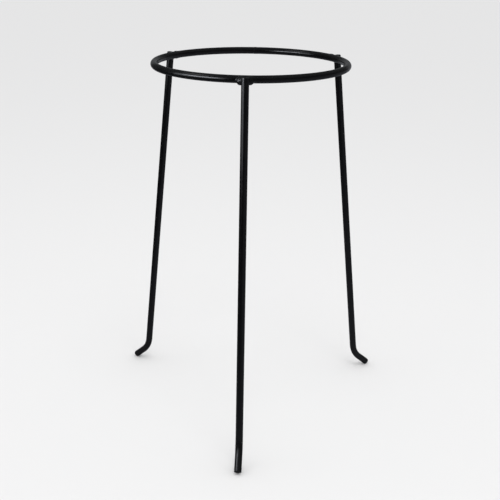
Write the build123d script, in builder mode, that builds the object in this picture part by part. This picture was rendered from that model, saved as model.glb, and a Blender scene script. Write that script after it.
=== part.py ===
from build123d import *
import os
from math import cos, degrees, radians, sin, tan

os.makedirs("parts", exist_ok=True)

# Open tripod ring stand, bent and welded from one size of round bar.
# Origin: where the ring's axis meets the ground. +Z up, front leg toward -Y. Millimetres.

# bar
ROD_D = 12.0  # ring and legs are the same stock
ROD_R = ROD_D / 2
DEBURR = 0.6  # broken edge on the legs' cut ends

# ring
RING_ID = 305.0  # clear opening, 12 in nominal
RING_R = (RING_ID + ROD_D) / 2  # bar centreline
SEAM_AZIMUTH = 180.0  # butt joint at the back, midway between the rear legs
SEAM_GAP = 1.6  # root gap between the butted ends
SEAM_CROWN = 0.45  # weld's height above the bar at mid-seam, after dressing
SEAM_EDGE_SINK = 0.2  # weld's edges, below the bar's surface
SEAM_WIDTH = 6.5

# legs
LEG_AZIMUTHS = {"front": 0.0, "rear_left": -122.0, "rear_right": 122.0}  # from -Y toward +X
LEG_TILT = 6.7  # from upright, spreading downward
FIT_UP = 0.1  # clearance between leg and ring, closed by the welds
LEG_TOP = 4.0  # centre of the square-cut top end, above the ring's centreline plane
KNEE_DROP = 577.6  # ring plane down to where leg and foot centrelines would cross
FOOT_ANGLE = 40.2  # foot below horizontal
FOOT_LENGTH = 41.2  # that crossing to the foot's cut end
BEND_R = 42.0  # centreline radius of the foot bend

# Fillet welds, hand laid, so no two are alike.
# Left and right are as seen from outside, facing the stand.
SIDES = {"left": -1, "right": 1}
WELDS = {
    # (leg, side): centre (sideways from the leg axis, out from the ring bar's axis,
    #              up from the ring plane), half width, half height
    ("front", "left"): ((7.0, 5.3, -1.6), 6.4, 6.6),
    ("front", "right"): ((7.0, 5.3, -1.0), 6.5, 6.8),
    ("rear_left", "left"): ((6.9, 5.2, -1.1), 6.3, 6.7),
    ("rear_left", "right"): ((7.1, 5.3, -1.3), 6.4, 6.9),
    ("rear_right", "left"): ((7.0, 5.3, -1.2), 6.4, 6.8),
    ("rear_right", "right"): ((6.9, 5.2, -0.9), 6.2, 6.6),
}

# Leg centreline as (out from the ring's axis, up from the ring plane).
TILT = radians(LEG_TILT)
FOOT_SLANT = radians(FOOT_ANGLE)
AXIS_GAP = ROD_D + FIT_UP  # ring bar's axis to leg axis
NEAR_R = RING_R + AXIS_GAP * cos(TILT)  # leg axis where it passes closest to the ring bar's axis
NEAR_Z = AXIS_GAP * sin(TILT)
TOP = (NEAR_R - (LEG_TOP - NEAR_Z) * tan(TILT), LEG_TOP)
KNEE = (NEAR_R + (NEAR_Z + KNEE_DROP) * tan(TILT), -KNEE_DROP)
TIP = (KNEE[0] + FOOT_LENGTH * cos(FOOT_SLANT), KNEE[1] - FOOT_LENGTH * sin(FOOT_SLANT))

# Height of the ring plane that rests the feet's deburred lower edges on z = 0.
RING_Z = -TIP[1] + ROD_R * cos(FOOT_SLANT) - DEBURR * sin(FOOT_SLANT)


def outward(azimuth):
    return Vector(sin(radians(azimuth)), -cos(radians(azimuth)), 0)


def rightward(azimuth):
    """Horizontal, to the right of a viewer outside the stand facing its axis."""
    return Vector(cos(radians(azimuth)), sin(radians(azimuth)), 0)


def upright(azimuth):
    """Plane through the ring's axis: x outward, y up, origin at the ring's centre."""
    return Plane(origin=(0, 0, RING_Z), x_dir=outward(azimuth), z_dir=-rightward(azimuth))


def save(part, name):
    part.label = name
    export_step(part, f"parts/{name}.step")


def make_ring():
    """One bar rolled round, its ends cut square either side of the seam gap."""
    half_gap = degrees(SEAM_GAP / 2 / RING_R)
    with BuildPart() as ring:
        with BuildSketch(upright(SEAM_AZIMUTH + half_gap)):
            with Locations((RING_R, 0)):
                Circle(ROD_R)
        revolve(axis=Axis.Z, revolution_arc=360 - 2 * half_gap)
    return ring.part


def make_seam_weld(ring):
    """Fills the seam gap and stands slightly proud all round."""
    centre = Vector(0, 0, RING_Z) + outward(SEAM_AZIMUTH) * RING_R
    along = rightward(SEAM_AZIMUTH)
    end = SEAM_WIDTH / 2
    edge = ROD_R - SEAM_EDGE_SINK
    with BuildPart() as weld:
        with BuildSketch(Plane(origin=centre, x_dir=along, z_dir=(0, 0, 1))):
            with BuildLine():
                Polyline((end, edge), (end, 0), (-end, 0), (-end, edge))
                ThreePointArc((-end, edge), (0, ROD_R + SEAM_CROWN), (end, edge))
            make_face()
        revolve(axis=Axis(centre, along))
        add(ring, mode=Mode.SUBTRACT)
    return weld.part


def make_leg(azimuth):
    """One bend, both ends cut square and deburred."""
    with BuildPart() as leg:
        with BuildLine(upright(azimuth)) as path:
            FilletPolyline(TOP, KNEE, TIP, radius=BEND_R)
        with BuildSketch(Plane(origin=path.wire() @ 0, z_dir=path.wire() % 0)):
            Circle(ROD_R)
        sweep()
        cut_ends = leg.faces().filter_by(GeomType.PLANE).edges()
        chamfer(cut_ends, DEBURR)
    return leg.part


def make_fillet_weld(ring, leg, azimuth, side, offset, half_width, half_height):
    """Ellipsoid bead in the groove beside a leg, cut to fit both bars."""
    across, out, up = offset
    right = rightward(azimuth)
    centre = (
        Vector(0, 0, RING_Z + up)
        + outward(azimuth) * (RING_R + out)
        + right * (side * across)
    )
    up_leg = outward(azimuth) * -sin(TILT) + Vector(0, 0, cos(TILT))
    with BuildPart() as weld:
        with BuildSketch(Plane(origin=centre, x_dir=right, z_dir=right.cross(up_leg))):
            Ellipse(half_width, half_height)
            # keep only the half on one side of the axis it revolves about
            with Locations((-half_width, 0)):
                Rectangle(2 * half_width, 4 * half_height, mode=Mode.SUBTRACT)
        revolve(axis=Axis(centre, up_leg))
        add(ring, mode=Mode.SUBTRACT)
        add(leg, mode=Mode.SUBTRACT)
    return weld.part


ring = make_ring()
save(ring, "ring")
save(make_seam_weld(ring), "ring_seam_weld")

legs = {place: make_leg(azimuth) for place, azimuth in LEG_AZIMUTHS.items()}
for place, leg in legs.items():
    save(leg, f"leg_{place}")

for (place, side), bead in WELDS.items():
    weld = make_fillet_weld(ring, legs[place], LEG_AZIMUTHS[place], SIDES[side], *bead)
    save(weld, f"weld_{place}_{side}")
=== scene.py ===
"""A black powder-coated steel stand: a level ring of round bar on three splayed legs of the same bar.

Metres, +Z up, with the floor at z = 0. The ring is centred on the Z axis and the front is toward -Y.
One leg stands at the front and two at the rear, each outside the ring with its foot bent outward.
Two weld beads hold each leg, and a dressed weld closes the ring at the back.
"""
import math

import bpy
import numpy as np
from mathutils import Matrix, Vector


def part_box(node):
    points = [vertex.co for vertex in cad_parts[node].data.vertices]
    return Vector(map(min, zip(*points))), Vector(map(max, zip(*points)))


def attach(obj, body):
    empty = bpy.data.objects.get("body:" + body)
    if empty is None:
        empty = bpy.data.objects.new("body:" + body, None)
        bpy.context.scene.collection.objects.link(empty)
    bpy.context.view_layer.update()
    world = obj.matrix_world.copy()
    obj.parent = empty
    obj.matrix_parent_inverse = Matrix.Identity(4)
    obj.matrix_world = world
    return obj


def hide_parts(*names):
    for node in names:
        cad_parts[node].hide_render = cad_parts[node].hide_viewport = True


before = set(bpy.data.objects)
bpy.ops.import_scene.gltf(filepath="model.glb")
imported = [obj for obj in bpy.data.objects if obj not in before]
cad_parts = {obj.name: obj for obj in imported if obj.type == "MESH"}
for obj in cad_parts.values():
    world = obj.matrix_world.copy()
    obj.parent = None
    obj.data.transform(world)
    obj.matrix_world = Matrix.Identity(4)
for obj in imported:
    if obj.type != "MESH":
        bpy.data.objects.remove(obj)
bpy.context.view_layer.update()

MM = 0.001
UP = np.array([0.0, 0.0, 1.0])

# ---------------------------------------------------------------- driving sizes
ring_low, ring_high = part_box("ring")
RING_Z = (ring_low.z + ring_high.z) / 2
ROD_R = (ring_high.z - ring_low.z) / 2
RING_R = (ring_high.x - ring_low.x) / 2 - ROD_R  # to the bar's axis

TILT = math.radians(6.7)    # leg from upright
FOOT = math.radians(40.2)   # foot below level
AXIS_OFF = 2 * ROD_R + 0.1 * MM  # from the ring bar's axis to the leg's
LEG_TOP = 4.0 * MM          # leg's cut end above the ring's mid-plane
KNEE_DROP = 577.6 * MM      # mid-plane down to where the leg and foot axes cross
FOOT_LEN = 41.2 * MM        # from that crossing to the tip
BEND_R = 42.0 * MM          # of the bar's axis
LEG_EDGE = 0.75 * MM        # rounding of the cut ends
RING_EDGE = 0.6 * MM
RING_HALF_GAP = 0.8 * MM    # each butted end of the ring from the back line
BAR_SIDES = 64
AZIMUTH = {"front": 0.0, "rear_left": -122.0, "rear_right": 122.0}  # degrees from -Y toward +X


def outward(azimuth):
    """Unit vector away from the Z axis, for one azimuth or an array of them."""
    return np.stack([np.sin(azimuth), -np.cos(azimuth), np.zeros_like(azimuth)], -1)


def rightward(azimuth):
    """Unit vector along the ring, to the right of a viewer outside who faces the stand."""
    return np.stack([np.cos(azimuth), np.sin(azimuth), np.zeros_like(azimuth)], -1)


# ---------------------------------------------------------------- mesh helpers
def new_mesh(name, verts, faces, normals=None):
    mesh = bpy.data.meshes.new(name + "_look")
    mesh.from_pydata([tuple(v) for v in verts], [], faces)
    mesh.validate()
    mesh.polygons.foreach_set("use_smooth", [True] * len(mesh.polygons))
    mesh.update()
    if normals is not None:
        mesh.normals_split_custom_set_from_vertices([tuple(v) for v in normals])
    ob = bpy.data.objects.new(name + "_look", mesh)
    bpy.context.scene.collection.objects.link(ob)
    return ob


def band_faces(first, second, sides, turned=False):
    """Quads between two closed rows that start at these vertices; turned reverses their winding."""
    faces = []
    for q in range(sides):
        after = (q + 1) % sides
        quad = (first + q, second + q, second + after, first + after)
        faces.append((quad[0], *quad[:0:-1]) if turned else quad)
    return faces


def smooth_noise(terms, seed):
    """A smooth repeatable wobble: a function of points (metres) with roughly unit amplitude."""
    draw = np.random.default_rng(seed)
    waves = draw.normal(size=(terms, 3))
    phases = draw.uniform(0, 2 * math.pi, terms)

    def wobble_at(points, wavelength):
        turns = points @ (waves.T * (2 * math.pi / wavelength))
        return np.sin(turns + phases).sum(-1) / math.sqrt(terms)

    return wobble_at


wobble = smooth_noise(terms=7, seed=5)


# ---------------------------------------------------------------- swept bars
WIDER, FLATTER = 0.012, 0.018    # how far a full bend spreads the bar across and squeezes it in plane
SAW_WAVE, SAW_DEPTH = 5.5 * MM, 0.035 * MM  # unevenness of a sawn face
DISH = 0.05 * MM                 # hollow at the middle of a sawn face


def bar(name, path, tangent, across, oval, edge, cap_seed):
    """A round bar along path. tangent and across are unit vectors at each station, and oval runs
    from 0 (round) to 1 (as flattened as the middle of a bend). Both ends are cut square, with
    an edge of radius `edge`."""
    angle = np.linspace(0, 2 * math.pi, BAR_SIDES, endpoint=False)
    third = np.cross(tangent, across)

    def wall_radius(i):
        return ROD_R * (1 + oval[i] * (WIDER * np.cos(angle) ** 2 - FLATTER * np.sin(angle) ** 2))

    def row(i, radius):
        spokes = np.cos(angle)[:, None] * across[i] + np.sin(angle)[:, None] * third[i]
        return path[i] + radius[:, None] * spokes

    def cap(i, out):
        """Rows of one end, from near its centre to where the straight wall starts."""
        radius = wall_radius(i)
        rows = []
        for share in (0.10, 0.35, 0.62, 0.86, 1.0):
            points = row(i, (radius - edge) * share)
            uneven = SAW_DEPTH * wobble(points + cap_seed, SAW_WAVE) * (1 - 0.6 * share)
            rows.append(points + (uneven - DISH * (1 - share * share))[:, None] * out)
        for roll in np.linspace(math.pi / 2, 0, 7)[1:]:
            points = row(i, radius - edge + edge * math.cos(roll))
            rows.append(points - out * edge * (1 - math.sin(roll)))
        return rows

    travelled = np.concatenate([[0], np.cumsum(np.linalg.norm(np.diff(path, axis=0), axis=1))])
    clear = edge * 1.02  # stations closer to an end than this would crowd its rounded edge
    rows = cap(0, -tangent[0])
    for i in range(1, len(path) - 1):
        if travelled[i] > clear and travelled[-1] - travelled[i] > clear:
            rows.append(row(i, wall_radius(i)))
    rows.extend(cap(len(path) - 1, tangent[-1])[::-1])

    faces = []
    for j in range(len(rows) - 1):
        faces += band_faces(j * BAR_SIDES, (j + 1) * BAR_SIDES, BAR_SIDES, turned=True)
    last = (len(rows) - 1) * BAR_SIDES
    centre = len(rows) * BAR_SIDES
    for q in range(BAR_SIDES):
        after = (q + 1) % BAR_SIDES
        faces.append((centre, after, q))
        faces.append((centre + 1, last + q, last + after))
    verts = np.vstack([*rows, rows[0].mean(0), rows[-1].mean(0)])
    return new_mesh(name, verts, faces)


def leg_path():
    """Stations of a leg in its upright plane, as (distance from the Z axis, height above the ring's
    mid-plane): centres, tangents, and how far into the bend each lies (0 to 1 to 0)."""
    beside_r = RING_R + AXIS_OFF * math.cos(TILT)  # the leg's axis, square across from the ring bar's
    beside_z = AXIS_OFF * math.sin(TILT)
    top = np.array([beside_r - (LEG_TOP - beside_z) * math.tan(TILT), LEG_TOP])
    knee = np.array([beside_r + (beside_z + KNEE_DROP) * math.tan(TILT), -KNEE_DROP])
    down_leg = np.array([math.sin(TILT), -math.cos(TILT)])
    down_foot = np.array([math.cos(FOOT), -math.sin(FOOT)])
    tip = knee + FOOT_LEN * down_foot

    turn = math.pi / 2 - TILT - FOOT
    setback = BEND_R * math.tan(turn / 2)
    bend_start = knee - down_leg * setback
    bend_end = knee + down_foot * setback
    inside = np.array([math.cos(TILT), math.sin(TILT)])  # toward the bend's centre
    centre = bend_start + inside * BEND_R

    # close stations near the weld, long quads below
    dense_to = 0.03
    length = np.linalg.norm(bend_start - top)
    along_leg = np.concatenate([
        np.linspace(0, dense_to, 40, endpoint=False),
        np.linspace(dense_to, length, 90, endpoint=False),
    ])
    share = np.linspace(0, 1, 48, endpoint=False)
    cos = np.cos(turn * share)[:, None]
    sin = np.sin(turn * share)[:, None]
    along_foot = np.linspace(0, np.linalg.norm(tip - bend_end), 30)

    centres = np.concatenate([
        top + along_leg[:, None] * down_leg,
        centre - inside * BEND_R * cos + down_leg * BEND_R * sin,
        bend_end + along_foot[:, None] * down_foot,
    ])
    tangents = np.concatenate([
        np.tile(down_leg, (len(along_leg), 1)),
        down_leg * cos + inside * sin,
        np.tile(down_foot, (len(along_foot), 1)),
    ])
    bend = np.concatenate([
        np.zeros(len(along_leg)), np.sin(math.pi * share) ** 2, np.zeros(len(along_foot)),
    ])
    return centres, tangents, bend


def make_leg(place):
    azimuth = math.radians(AZIMUTH[place])
    out = outward(azimuth)
    centres, tangents, bend = leg_path()
    return bar(
        "leg_" + place,
        path=centres[:, :1] * out + (centres[:, 1:] + RING_Z) * UP,
        tangent=tangents[:, :1] * out + tangents[:, 1:] * UP,
        across=np.tile(rightward(azimuth), (len(centres), 1)),
        oval=bend, edge=LEG_EDGE, cap_seed=abs(azimuth) + 1,
    )


def make_ring():
    """The ring, from one butted end at the back, round the front, to the other."""
    gap = RING_HALF_GAP / RING_R
    azimuth = np.linspace(math.pi + gap, 3 * math.pi - gap, 721)
    out = outward(azimuth)
    return bar(
        "ring", path=out * RING_R + UP * RING_Z, tangent=rightward(azimuth), across=out,
        oval=np.zeros(len(azimuth)), edge=RING_EDGE, cap_seed=3,
    )


# ---------------------------------------------------------------- ring's closing weld
def make_seam():
    """The weld at the back of the ring, almost flush: a low crowned band with faint ripples.
    Its sizes are in mm."""
    sides = 96
    half_width = 3.1
    buried = 1.1    # depth of the band's end rows inside the bar
    sunk = 0.08     # base of the crown below the bar's surface
    crown_height, ripple_height, ripple_pitch = 0.24, 0.03, 1.7
    ring_r, rod_r = RING_R / MM, ROD_R / MM

    offsets = np.concatenate([[-half_width], np.linspace(-half_width, half_width, 25), [half_width]])
    angle = np.linspace(0, 2 * math.pi, sides, endpoint=False)
    ragged = 0.12 * np.sin(3 * angle + 0.7) + 0.08 * np.sin(7 * angle + 2)
    rows = []
    for i, x in enumerate(offsets):
        if i in (0, len(offsets) - 1):
            radius = np.full(sides, rod_r - buried)
        else:
            share = abs(x) / half_width
            crown = crown_height * np.clip(1 - (share * (1 + ragged)) ** 2.0, -0.6, 1)
            wave = np.abs(np.sin(math.pi * (angle * rod_r / ripple_pitch + 0.12 * x ** 2)))
            radius = rod_r - sunk + crown + ripple_height * wave * max(0, 1 - share)
        out = outward(math.pi + x / ring_r)
        spokes = np.cos(angle)[:, None] * out + np.sin(angle)[:, None] * UP
        rows.append(out * ring_r + radius[:, None] * spokes)
    faces = []
    for j in range(len(rows)):
        faces += band_faces(j * sides, (j + 1) % len(rows) * sides, sides)
    return new_mesh("ring_seam_weld", np.concatenate(rows) * MM + UP * RING_Z, faces)


# ---------------------------------------------------------------- level sets to closed meshes
CORNERS = [(i, j, k) for i in (0, 1) for j in (0, 1) for k in (0, 1)]
CELL_EDGES = [
    (a, b) for a in CORNERS for b in CORNERS
    if sum(abs(x - y) for x, y in zip(a, b)) == 1 and a < b
]


def corner_codes(field):
    """For each grid cell, one bit per corner in CORNERS, set where that corner is inside."""
    nx, ny, nz = field.shape
    codes = np.zeros((nx - 1, ny - 1, nz - 1), int)
    for bit, (i, j, k) in enumerate(CORNERS):
        inside = field[i:nx - 1 + i, j:ny - 1 + j, k:nz - 1 + k] < 0
        codes |= inside.astype(int) << bit
    return codes


def single_sheet_codes():
    """For each of the 256 codes: do the inside corners, and the outside ones, each join up along
    the cell's edges?"""
    good = np.ones(256, bool)
    for code in range(256):
        for wanted in (0, 1):
            left = {c for c in range(8) if (code >> c & 1) == wanted}
            todo = [left.pop()] if left else []
            while todo:
                c = todo.pop()
                for bit in (1, 2, 4):
                    if c ^ bit in left:
                        left.remove(c ^ bit)
                        todo.append(c ^ bit)
            good[code] &= not left
    return good


SINGLE_SHEET = single_sheet_codes()


def unpinch(field):
    """Fills grid corners until no cell holds two sheets of surface, so that no edge or corner of
    the mesh is pinched."""
    while True:
        bad = np.argwhere(~SINGLE_SHEET[corner_codes(field)])
        if not len(bad):
            return field
        for cell in bad:
            spots = [tuple(int(v) for v in cell + np.array(c)) for c in CORNERS]
            free = [spot for spot in spots if field[spot] >= 0]
            if free:
                field[min(free, key=lambda spot: field[spot])] = -0.01


def surface_net(field, origin, step):
    """Closed quad mesh of field < 0 on a regular grid, with one vertex in each crossed cell."""
    shape = field.shape
    codes = corner_codes(field)
    cells = np.argwhere((codes > 0) & (codes < 255))
    index = -np.ones(codes.shape, int)
    index[tuple(cells.T)] = np.arange(len(cells))

    # each vertex is the mean of the crossings on its cell's edges
    total = np.zeros((len(cells), 3))
    count = np.zeros(len(cells))
    for a, b in CELL_EDGES:
        value_a = field[tuple((cells + a).T)]
        value_b = field[tuple((cells + b).T)]
        crossed = (value_a < 0) != (value_b < 0)
        share = np.where(crossed, value_a / np.where(crossed, value_a - value_b, 1), 0)
        start, end = np.array(a, float), np.array(b, float)
        total += np.where(crossed[:, None], start + share[:, None] * (end - start), 0)
        count += crossed
    verts = origin + step * (cells + total / count[:, None])

    # one quad round each grid edge that changes side
    inside = field < 0
    faces = []
    for axis in range(3):
        u, v = (axis + 1) % 3, (axis + 2) % 3
        near, far = [slice(None)] * 3, [slice(None)] * 3
        near[axis], far[axis] = slice(0, -1), slice(1, None)
        points = np.argwhere(inside[tuple(near)] != inside[tuple(far)])
        within = (points[:, u] > 0) & (points[:, v] > 0)
        within &= (points[:, u] < shape[u] - 1) & (points[:, v] < shape[v] - 1)
        points = points[within]
        step_u, step_v = np.eye(3, dtype=int)[u], np.eye(3, dtype=int)[v]
        around = (points - step_u - step_v, points - step_v, points, points - step_u)
        quads = np.stack([index[tuple(c.T)] for c in around], 1)
        leaving = inside[tuple(points.T)]
        quads = np.where(leaving[:, None], quads, quads[:, ::-1])
        faces.extend(map(tuple, quads.tolist()))
    return verts, faces


def slope(field, points, reach=0.02):
    """Gradient of a field function at points."""
    return np.stack([
        (field(points + shift) - field(points - shift)) / (2 * reach) for shift in np.eye(3) * reach
    ], -1)


def pull_onto_surface(field, verts, passes=3, longest=0.12):
    for _ in range(passes):
        value = field(verts)
        gradient = slope(field, verts)
        squared = (gradient ** 2).sum(-1) + 1e-9
        move = -(value / squared)[:, None] * gradient
        length = np.linalg.norm(move, axis=1, keepdims=True)
        verts = verts + move * np.minimum(1, longest / np.maximum(length, 1e-9))
    return verts


def main_body(verts, faces):
    """Keeps only the largest connected part, so that no crumb floats loose."""
    parent = np.arange(len(verts))

    def find(i):
        while parent[i] != i:
            parent[i] = parent[parent[i]]
            i = parent[i]
        return i

    for face in faces:
        root = find(face[0])
        for v in face[1:]:
            other = find(v)
            if other != root:
                parent[other] = root
    roots = np.array([find(i) for i in range(len(verts))])
    keep = roots == np.bincount(roots).argmax()
    renumber = np.cumsum(keep) - 1
    return verts[keep], [tuple(int(renumber[v]) for v in face) for face in faces if keep[face[0]]]


# ---------------------------------------------------------------- weld beads
# This section works in mm, in a joint's own frame:
# x rightward, y outward from the ring bar's axis, z up from the ring's mid-plane.
BEADS = [
    # place, side (-1 left, 1 right), centre (x away from the leg, y, z),
    # half sizes (across, up the leg), ripple phase, lean
    ("front", -1, (7.0, 5.3, -1.6), (6.4, 6.6), 0.3, 0.10),
    ("front", 1, (7.0, 5.3, -1.0), (6.5, 6.8), 1.7, -0.06),
    ("rear_left", -1, (6.9, 5.2, -1.1), (6.3, 6.7), 2.2, 0.05),
    ("rear_left", 1, (7.1, 5.3, -1.3), (6.4, 6.9), 0.9, -0.11),
    ("rear_right", -1, (7.0, 5.3, -1.2), (6.4, 6.8), 3.1, 0.08),
    ("rear_right", 1, (6.9, 5.2, -0.9), (6.2, 6.6), 4.0, -0.04),
]
GRID_STEP = 0.29
GRID_NEAR, GRID_FAR = 2.6, 16.5        # grid's reach in x, past the leg's middle and on the bead's side
GRID_Y, GRID_Z = (-4.0, 15.0), (-11.0, 9.5)
BLEND = 2.2             # width of the run-out from a bead to the bars
BURIED = 0.55           # how far a bead goes into the bars
OVERLAP = 1.4           # how far a bead crosses the leg's middle
LEG_CORNER = 0.7        # rounding of the leg's cut end
RIPPLE_PITCH = 1.75


def smooth_min(a, b, width):
    near = np.maximum(width - np.abs(a - b), 0) / width
    return np.minimum(a, b) - near * near * width / 4


def bars_distance(p):
    """Distance to the nearer of the ring bar and the leg."""
    ring_r, rod_r = RING_R / MM, ROD_R / MM
    from_axis = np.sqrt(p[..., 0] ** 2 + (ring_r + p[..., 1]) ** 2) - ring_r
    to_ring = np.sqrt(from_axis ** 2 + p[..., 2] ** 2) - rod_r

    beside = AXIS_OFF / MM * np.array([0, math.cos(TILT), math.sin(TILT)])
    down = np.array([0, math.sin(TILT), -math.cos(TILT)])
    offset = p - beside
    along = offset @ down
    from_leg_axis = np.linalg.norm(offset - along[..., None] * down, axis=-1)
    top = -(LEG_TOP / MM - beside[2]) / math.cos(TILT)
    past = np.stack([from_leg_axis - rod_r + LEG_CORNER, top - along + LEG_CORNER], -1)
    to_leg = np.minimum(past.max(-1), 0) + np.linalg.norm(np.maximum(past, 0), axis=-1) - LEG_CORNER
    return np.minimum(to_ring, to_leg)


def bead_distance(p, side, centre, half, phase, lean):
    """Distance-like field of one hand-laid bead: a crowned blob with ripples stacked up the groove."""
    local = (p - np.array([side * centre[0], centre[1], centre[2]])) * np.array([side, 1, 1])
    x, y, z = local[..., 0], local[..., 1], local[..., 2]
    cos, sin = math.cos(TILT), math.sin(TILT)
    y, z = y * cos + z * sin, -y * sin + z * cos  # z now runs up the leg
    x = x + lean * z
    x = np.where(x < 0, x * 0.86, x)  # fuller toward the leg, so a joint's two beads meet over it

    # crescent ripples, highest at the middle of the bead's face
    across_face = (x - y) / math.sqrt(2)
    climb = z + 0.085 * across_face ** 2 + 0.25 * np.sin(0.9 * z + phase)
    ripple = np.sqrt(np.sin(math.pi * (climb / RIPPLE_PITCH) + phase) ** 2 + 0.05)
    wide = (
        half[0] + 0.15 * (ripple - 0.5)
        + 0.16 * np.sin(0.55 * z + 2 * phase) + 0.10 * np.sin(1.1 * across_face + phase)
    )
    tall = half[1]
    # usual estimate of the distance to an ellipsoid
    scaled = np.sqrt((x / wide) ** 2 + (y / wide) ** 2 + (z / tall) ** 2)
    steepness = np.sqrt((x / wide ** 2) ** 2 + (y / wide ** 2) ** 2 + (z / tall ** 2) ** 2) + 1e-9
    return scaled * (scaled - 1) / steepness


def make_bead(place, side, *bead_shape):
    def parts(p):
        bars = bars_distance(p)
        bead = bead_distance(p, side, *bead_shape)
        return bars, bead, smooth_min(bars, bead, BLEND)

    def outer_face(p):
        """The weld's visible face, running out smoothly over the bars."""
        return parts(p)[2]

    def solid(p):
        bars, bead, face = parts(p)
        own_side = -side * p[..., 0] - OVERLAP
        return np.maximum.reduce([face, -(bars + BURIED), bead - 0.9 * BLEND, own_side])

    span_x = (-GRID_FAR, GRID_NEAR) if side < 0 else (-GRID_NEAR, GRID_FAR)
    low, high = np.array([span_x, GRID_Y, GRID_Z]).T
    counts = np.ceil((high - low) / GRID_STEP).astype(int) + 1
    axes = [low[i] + GRID_STEP * np.arange(counts[i]) for i in range(3)]
    grid = np.stack(np.meshgrid(*axes, indexing="ij"), -1)

    verts, faces = surface_net(unpinch(solid(grid)), low, GRID_STEP)
    verts, faces = main_body(pull_onto_surface(solid, verts), faces)
    normals = slope(outer_face, verts)
    normals /= np.linalg.norm(normals, axis=1, keepdims=True)

    azimuth = math.radians(AZIMUTH[place])
    basis = np.stack([rightward(azimuth), outward(azimuth), UP])
    placed = verts @ basis * MM + outward(azimuth) * RING_R + UP * RING_Z
    faces = [face[::-1] for face in faces]  # the joint's frame is left-handed
    name = f"weld_{place}_{'left' if side < 0 else 'right'}"
    return new_mesh(name, placed, faces, normals @ basis)


# ---------------------------------------------------------------- shader helpers
def add_node(tree, kind, inputs=None, **settings):
    """Adds a node; each input is given a value or, for a socket, a link."""
    node = tree.nodes.new(kind)
    for key, value in settings.items():
        setattr(node, key, value)
    for key, value in (inputs or {}).items():
        if isinstance(value, bpy.types.NodeSocket):
            tree.links.new(value, node.inputs[key])
        else:
            node.inputs[key].default_value = value
    return node


def empty_tree(owner):
    owner.use_nodes = True
    owner.node_tree.nodes.clear()
    return owner.node_tree


def map_range(tree, value, source, result, smooth=False):
    return add_node(
        tree, "ShaderNodeMapRange",
        {"Value": value, "From Min": source[0], "From Max": source[1],
         "To Min": result[0], "To Max": result[1]},
        interpolation_type="SMOOTHSTEP" if smooth else "LINEAR",
    ).outputs[0]


def calculate(tree, operation, a, b):
    return add_node(tree, "ShaderNodeMath", {0: a, 1: b}, operation=operation).outputs[0]


def mix_colour(tree, factor, a, b):
    inputs = {0: factor, 6: a, 7: b}
    return add_node(tree, "ShaderNodeMix", inputs, data_type="RGBA").outputs[2]


def mix_shader(tree, factor, a, b):
    return add_node(tree, "ShaderNodeMixShader", {0: factor, 1: a, 2: b}).outputs[0]


# ---------------------------------------------------------------- paint
def paint(name, roughness, relief):
    """Semi-gloss black powder coat: orange peel, fine grain, uneven sheen, a little dust and wear.
    relief is the bump distance in metres."""
    material = bpy.data.materials.new(name)
    tree = empty_tree(material)
    geometry = add_node(tree, "ShaderNodeNewGeometry")
    position = geometry.outputs["Position"]

    def noise(scale, detail, rough):
        inputs = {"Vector": position, "Scale": scale, "Detail": detail, "Roughness": rough}
        return add_node(tree, "ShaderNodeTexNoise", inputs).outputs[0]

    def fade(value, source, result):
        return map_range(tree, value, source, result, smooth=True)

    def add(a, b):
        return calculate(tree, "ADD", a, b)

    def multiply(a, b):
        return calculate(tree, "MULTIPLY", a, b)

    # near-black, with a second shade in broad patches
    patches = fade(noise(scale=38, detail=4, rough=0.55), source=(0.35, 0.7), result=(0, 1))
    colour = mix_colour(tree, patches, a=(0.0011, 0.0011, 0.0014, 1), b=(0.0020, 0.0020, 0.0024, 1))
    # specks of dust caught in the coat
    specks = fade(noise(scale=1900, detail=1, rough=0.5), source=(0.76, 0.83), result=(0, 0.3))
    colour = mix_colour(tree, specks, a=colour, b=(0.045, 0.044, 0.042, 1))
    # the film is thin over sharp edges and ripple crests, so a little grey shows through
    edges = fade(geometry.outputs["Pointiness"], source=(0.51, 0.58), result=(0, 1))
    broken = fade(noise(scale=330, detail=3, rough=0.6), source=(0.35, 0.7), result=(0.15, 0.9))
    colour = mix_colour(tree, multiply(edges, broken), a=colour, b=(0.020, 0.020, 0.021, 1))

    # sheen: broad changes, fine grain, and scuffs on the last few centimetres above the floor
    broad = fade(noise(scale=60, detail=3, rough=0.6), source=(0.3, 0.75),
                 result=(roughness - 0.02, roughness + 0.05))
    grain = fade(noise(scale=2600, detail=2, rough=0.6), source=(0.3, 0.8), result=(-0.015, 0.035))
    height = add_node(tree, "ShaderNodeSeparateXYZ", {0: position}).outputs["Z"]
    scuffs = multiply(
        fade(height, source=(0.015, 0.065), result=(0.16, 0.0)),
        fade(noise(scale=140, detail=3, rough=0.6), source=(0.3, 0.6), result=(0.7, 1.0)),
    )

    # relief: orange peel about 2 mm across, with finer grain on top
    peel = multiply(noise(scale=520, detail=1.5, rough=0.45), 1.0)
    fine = multiply(noise(scale=2400, detail=2, rough=0.5), 0.16)
    bump = add_node(tree, "ShaderNodeBump",
                    {"Strength": 1.0, "Distance": relief, "Height": add(peel, fine)})

    shader = add_node(tree, "ShaderNodeBsdfPrincipled", {
        "Base Color": colour,
        "Roughness": add(add(broad, grain), scuffs),
        "IOR": 1.5,
        "Specular IOR Level": 0.5,
        "Normal": bump.outputs[0],
    })
    add_node(tree, "ShaderNodeOutputMaterial", {0: shader.outputs[0]})
    return material


# ---------------------------------------------------------------- studio floor and room
FLOOR_RADII = [0.5, 1, 2, 4, 8, 16, 40]
FLOOR_SIDES = 96


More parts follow.
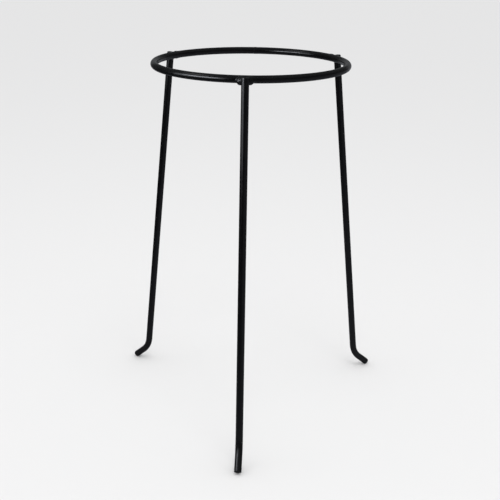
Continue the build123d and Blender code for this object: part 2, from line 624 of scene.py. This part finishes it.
def floor_material():
    """Pale to the camera. To glossy rays it is painted darker, with painted shade toward the front left
    and a painted pool of light near the stand.
    """
    material = bpy.data.materials.new("studio_floor")
    tree = empty_tree(material)
    position = add_node(tree, "ShaderNodeNewGeometry").outputs["Position"]

    # painted reflection: the floor as the paint mirrors it is painted darkest toward the front left,
    # with painted light gathering near the stand
    rightward_back = add_node(tree, "ShaderNodeVectorMath", {0: position, 1: (1.0, 0.35, 0.0)},
                              operation="DOT_PRODUCT").outputs["Value"]
    from_centre = add_node(tree, "ShaderNodeVectorMath", {0: position},
                           operation="LENGTH").outputs["Value"]
    brightness = calculate(
        tree, "ADD",
        map_range(tree, rightward_back, source=(-0.75, 0.30), result=(0.035, 0.125)),
        map_range(tree, from_centre, source=(0.15, 0.95), result=(0.075, 0.0)),
    )
    painted_reflection_tint = add_node(tree, "ShaderNodeVectorMath", {0: (0.94, 0.97, 1.08), "Scale": brightness},
                    operation="SCALE").outputs[0]

    # plain is the floor's even pale colour; mirrored carries the painted reflection tone that glossy
    # rays see
    plain = add_node(tree, "ShaderNodeBsdfDiffuse", {"Color": (0.775, 0.775, 0.77, 1)})
    mirrored = add_node(tree, "ShaderNodeBsdfDiffuse", {"Color": painted_reflection_tint})
    is_glossy = add_node(tree, "ShaderNodeLightPath").outputs["Is Glossy Ray"]
    surface = mix_shader(tree, is_glossy, a=plain.outputs[0], b=mirrored.outputs[0])
    add_node(tree, "ShaderNodeOutputMaterial", {0: surface})
    return material


def make_floor():
    verts = [(0, 0, 0)]
    for radius in FLOOR_RADII:
        for q in range(FLOOR_SIDES):
            angle = 2 * math.pi * q / FLOOR_SIDES
            verts.append((radius * math.cos(angle), radius * math.sin(angle), 0))
    faces = [(0, 1 + q, 1 + (q + 1) % FLOOR_SIDES) for q in range(FLOOR_SIDES)]
    for j in range(len(FLOOR_RADII) - 1):
        faces += band_faces(1 + j * FLOOR_SIDES, 1 + (j + 1) * FLOOR_SIDES, FLOOR_SIDES)
    mesh = bpy.data.meshes.new("studio_floor")
    mesh.from_pydata(verts, [], faces)
    floor = bpy.data.objects.new("studio_floor", mesh)
    bpy.context.scene.collection.objects.link(floor)
    mesh.materials.append(floor_material())


def make_world():
    world = bpy.data.worlds.new("studio")
    bpy.context.scene.world = world
    tree = empty_tree(world)

    def background(colour, strength):
        inputs = {"Color": colour, "Strength": strength}
        return add_node(tree, "ShaderNodeBackground", inputs).outputs[0]

    # the far floor's own brightness, so no horizon shows
    seen = background(colour=(0.784, 0.784, 0.787, 1), strength=1.0)
    ambient = background(colour=(0.92, 0.92, 0.93, 1), strength=1.1)
    # what the paint mirrors of the room: dark walls, a paler ceiling
    direction = add_node(tree, "ShaderNodeTexCoord").outputs["Generated"]
    height = add_node(tree, "ShaderNodeSeparateXYZ", {0: direction}).outputs["Z"]
    room = map_range(tree, height, source=(0.2, 0.9), result=(0.055, 0.15), smooth=True)
    mirrored = background(colour=(0.92, 0.96, 1.0, 1), strength=room)

    ray = add_node(tree, "ShaderNodeLightPath").outputs
    unseen = mix_shader(tree, ray["Is Glossy Ray"], a=ambient, b=mirrored)
    surface = mix_shader(tree, ray["Is Camera Ray"], a=unseen, b=seen)
    add_node(tree, "ShaderNodeOutputWorld", {0: surface})


# ---------------------------------------------------------------- lights
CAMERA_AZIMUTH = 0.0482  # radians from -Y toward +X; light azimuths are counted from it
COOL = (0.90, 0.93, 1.0)


def area_light(name, width, height, energy, colour):
    light = bpy.data.lights.new(name, "AREA")
    light.shape = "RECTANGLE"
    light.size, light.size_y = width, height
    light.energy = energy
    light.color = colour
    ob = bpy.data.objects.new(name, light)
    ob.visible_camera = False
    bpy.context.scene.collection.objects.link(ob)
    return ob


def softbox(name, azimuth, elevation, distance, width, height, power, aim_z):
    """A light aimed at a point on the Z axis; angles in degrees."""
    turn, rise = CAMERA_AZIMUTH + math.radians(azimuth), math.radians(elevation)
    away = Vector((math.sin(turn) * math.cos(rise), -math.cos(turn) * math.cos(rise), math.sin(rise)))
    ob = area_light(name, width, height, power, colour=(1, 1, 1))
    ob.location = Vector((0, 0, aim_z)) + away * distance
    ob.rotation_mode = "QUATERNION"
    ob.rotation_quaternion = (-away).to_track_quat("-Z", "Y")
    return ob


def panel(name, azimuth, distance, across, z, width, height, radiance, colour):
    """An upright glowing panel facing the stand, seen only in reflections. across is its offset to
    the right, for a viewer at that azimuth (degrees) who faces the stand."""
    ob = area_light(name, width, height, radiance * math.pi * width * height, colour)
    facing = Matrix.Rotation(CAMERA_AZIMUTH + math.radians(azimuth), 4, "Z")
    upright = Matrix.Rotation(math.pi / 2, 4, "X")
    ob.matrix_world = facing @ Matrix.Translation((across, -distance, z)) @ upright
    ob.visible_diffuse = False


def make_lights():
    # the main light stands close on the left, its lower edge below the ring, with a hot centre
    panel("key", azimuth=-58, distance=0.90, across=0.0, z=0.72,
          width=1.05, height=0.58, radiance=1.35, colour=COOL)
    panel("key_centre", azimuth=-58, distance=0.88, across=0.08, z=0.755,
          width=0.62, height=0.15, radiance=9.0, colour=COOL)
    # a pale card behind the stand, mirrored at a glancing angle along the sides of the ring
    panel("backdrop", azimuth=180, distance=1.6, across=-0.22, z=0.56,
          width=2.35, height=1.08, radiance=0.12, colour=(0.95, 0.97, 1.0))
    softbox("fill_left", azimuth=-82, elevation=50, distance=2.2,
            width=0.9, height=0.7, power=2, aim_z=0.5)
    overhead = softbox("overhead", azimuth=15, elevation=68, distance=2.8,
                       width=0.9, height=0.9, power=14, aim_z=0.2)
    overhead.visible_glossy = False  # lights the floor and gives no highlight on the bars


# ---------------------------------------------------------------- camera
CAMERA_DISTANCE = 9.8465 * RING_R
CAMERA_HEIGHT = 1.457 * RING_R  # above the ring's mid-plane
PAN, PITCH, ROLL = 0.0015, 0.3424, 0.0128  # radians: to the right, downward, about the view
LENS_MM, SENSOR_MM = 67.82184, 36.0


def make_camera():
    forward = np.array([
        math.sin(PAN) * math.cos(PITCH), math.cos(PAN) * math.cos(PITCH), -math.sin(PITCH),
    ])
    level = np.array([math.cos(PAN), -math.sin(PAN), 0.0])
    upright = np.cross(level, forward)
    right = math.cos(ROLL) * level + math.sin(ROLL) * upright
    up = -math.sin(ROLL) * level + math.cos(ROLL) * upright
    place = [0, -CAMERA_DISTANCE, CAMERA_HEIGHT]
    cos, sin = math.cos(CAMERA_AZIMUTH), math.sin(CAMERA_AZIMUTH)
    turn = np.array([[cos, -sin, 0], [sin, cos, 0], [0, 0, 1]])
    pose = np.eye(4)
    pose[:3] = turn @ np.column_stack([right, up, -forward, place])
    pose[2, 3] += RING_Z

    data = bpy.data.cameras.new("camera")
    data.sensor_width = SENSOR_MM
    data.lens = LENS_MM
    data.clip_start, data.clip_end = 0.05, 200
    camera = bpy.data.objects.new("camera", data)
    camera_matrix = Matrix(pose.tolist())
    camera.matrix_world = camera_matrix
    bpy.context.scene.collection.objects.link(camera)
    bpy.context.scene.camera = camera
    return camera, camera_matrix


def tie_lights_to(camera, camera_matrix):
    """Turns the lights about the stand with the camera, as if the stand were on a turntable."""
    rig = bpy.data.objects.new("light_rig", None)
    bpy.context.scene.collection.objects.link(rig)
    follow = rig.constraints.new("COPY_ROTATION")
    follow.target = camera
    follow.use_x = follow.use_y = False
    from_camera = Matrix.Rotation(-camera_matrix.to_euler("XYZ").z, 4, "Z")
    for ob in [o for o in bpy.context.scene.objects if o.type == "LIGHT"]:
        ob.parent = rig
        ob.matrix_parent_inverse = from_camera


# ---------------------------------------------------------------- build
coat = paint("powder_coat_black", roughness=0.18, relief=0.000011)
weld_coat = paint("powder_coat_black_weld", roughness=0.23, relief=0.000014)

bars = [make_ring()] + [make_leg(place) for place in AZIMUTH]
seam = make_seam()
welds = [make_bead(*bead) for bead in BEADS] + [seam]
for pieces, material in ((bars, coat), (welds, weld_coat)):
    for ob in pieces:
        ob.data.materials.append(material)
        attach(ob, "root")
        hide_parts(ob.name.removesuffix("_look"))

make_floor()
make_world()
make_lights()
tie_lights_to(*make_camera())
bpy.context.scene.view_settings.view_transform = "Standard"
bpy.context.scene.view_settings.look = "None"

bpy.context.view_layer.update()
